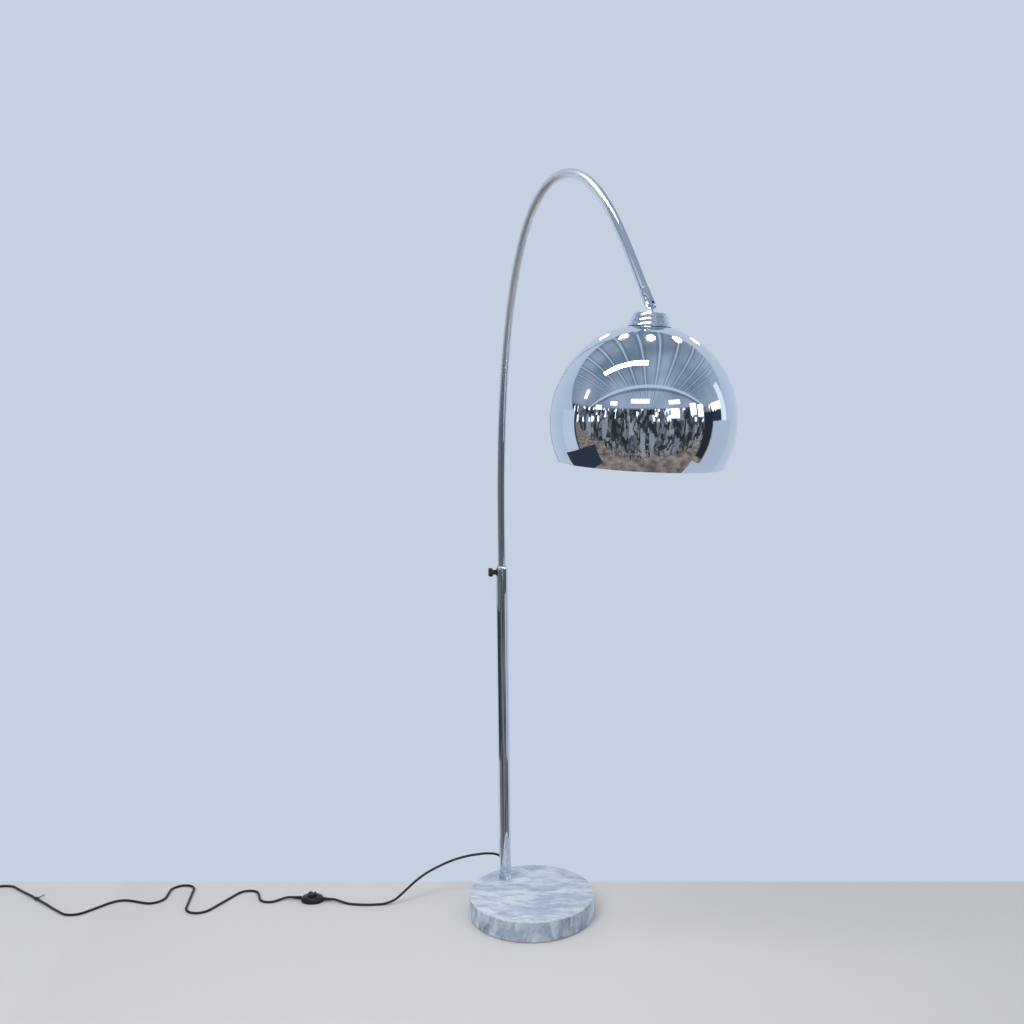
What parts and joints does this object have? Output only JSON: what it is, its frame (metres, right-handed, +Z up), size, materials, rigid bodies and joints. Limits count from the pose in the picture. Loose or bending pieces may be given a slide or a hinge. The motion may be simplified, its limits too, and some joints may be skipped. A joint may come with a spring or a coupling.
{
  "type": "arc floor lamp",
  "caption": "Chrome arc floor lamp with a tilting dome shade, a telescopic swivelling arm held by a thumb screw, a round marble base and a foot switch on its cord.",
  "frame": {"origin": "centre of the round base's underside, on the floor", "axes": "+Z up; +X from the pole towards the shade, in the plane of the arc; +Y completes the frame"},
  "size_m": [1.6462, 1.2517, 1.6446],
  "materials": {
    "chrome": "polished",
    "marble": "polished",
    "felt": "matte",
    "steel": "satin",
    "brass": "satin",
    "black_plastic": "satin",
    "white_plastic": "satin",
    "cord_black": "satin",
    "bulb_glass": "opal"
  },
  "bodies": {
    "stand": {"base_bolt": "steel", "base_felt": "felt", "base_washer": "steel", "cable_tie": "black_plastic", "clamp_nut": "black_plastic", "coil_tie": "black_plastic", "cord_coil": "cord_black", "cord_coil_to_plug": "cord_black", "cord_grommet": "black_plastic", "cord_lamp_to_switch": "cord_black", "cord_switch_to_coil": "cord_black", "foot_collar": "chrome", "foot_plug": "steel", "lead_pole": "cord_black", "lower_pole": "chrome", "marble_base": "marble", "plug_blade_left": "brass", "plug_blade_right": "brass", "plug_body": "black_plastic", "plug_relief": "black_plastic", "pole_top_bush": "chrome", "switch_base": "black_plastic", "switch_cover": "black_plastic", "switch_mechanism": "white_plastic", "switch_relief_lamp_side": "black_plastic", "switch_relief_plug_side": "black_plastic"},
    "clamp_pad": {"clamp_pad": "brass"},
    "thumb_screw": {"thumb_screw_shank": "steel", "thumb_screw_knob": "black_plastic"},
    "arc_slider": {"tube_guide_bush": "black_plastic"},
    "arc": {"arc_tube": "chrome", "tube_end_sleeve": "chrome", "knuckle_fork": "chrome", "knuckle_screw": "chrome", "knuckle_nut": "chrome", "lead_arc": "cord_black"},
    "head": {"knuckle_stem": "chrome", "canopy": "chrome", "shade_shell": "chrome", "shade_washer": "steel", "shade_lock_nut": "steel", "holder_cap": "white_plastic", "holder_body": "white_plastic", "holder_insulator": "white_plastic", "holder_contact": "brass", "holder_screw_shell": "brass", "lead_head": "cord_black"},
    "bulb_slider": {"bulb_tip": "steel"},
    "bulb": {"bulb_cap": "steel", "bulb_glass": "bulb_glass"},
    "switch_button": {"switch_button": "black_plastic"}
  },
  "joints": [
    {"name": "arc_height", "type": "slide", "parent": "stand", "child": "arc_slider", "axis": [0, 0, 1], "range_m": [-0.09, 0.2]},
    {"name": "arc_swivel", "type": "hinge", "parent": "arc_slider", "child": "arc", "pos_m": [-0.1, 0, 0.8195], "axis": [0, 0, 1], "range_deg": [-170, 170]},
    {"name": "shade_tilt", "type": "hinge", "parent": "arc", "child": "head", "pos_m": [0.35, 0, 1.366], "axis": [0, 1, 0], "range_deg": [-40, 35]},
    {"name": "clamp_advance", "type": "slide", "parent": "stand", "child": "clamp_pad", "axis": [-0.5, -0.866, 0], "range_m": [0, 0.002]},
    {"name": "thumb_turn", "type": "hinge", "parent": "clamp_pad", "child": "thumb_screw", "pos_m": [-0.1064, -0.01108, 0.8195], "axis": [-0.5, -0.866, 0], "range_deg": [0, 720]},
    {"name": "bulb_travel", "type": "slide", "parent": "head", "child": "bulb_slider", "axis": [-0.0698, 0, -0.9976], "range_m": [0, 0.01452]},
    {"name": "bulb_turn", "type": "hinge", "parent": "bulb_slider", "child": "bulb", "pos_m": [0.34462, 0, 1.28899], "axis": [-0.0698, 0, -0.9976], "range_deg": [0, 1440]},
    {"name": "switch_press", "type": "slide", "parent": "stand", "child": "switch_button", "axis": [0, 0, 1], "range_m": [-0.003, 0], "stiffness_N_per_m": 900, "springref_m": 0.001}
  ],
  "couplings": [
    {"joint": "thumb_turn", "follows": "clamp_advance", "rad_per_m": 6283.2},
    {"joint": "bulb_travel", "follows": "bulb_turn", "m_per_rad": 0.00057773}
  ]
}
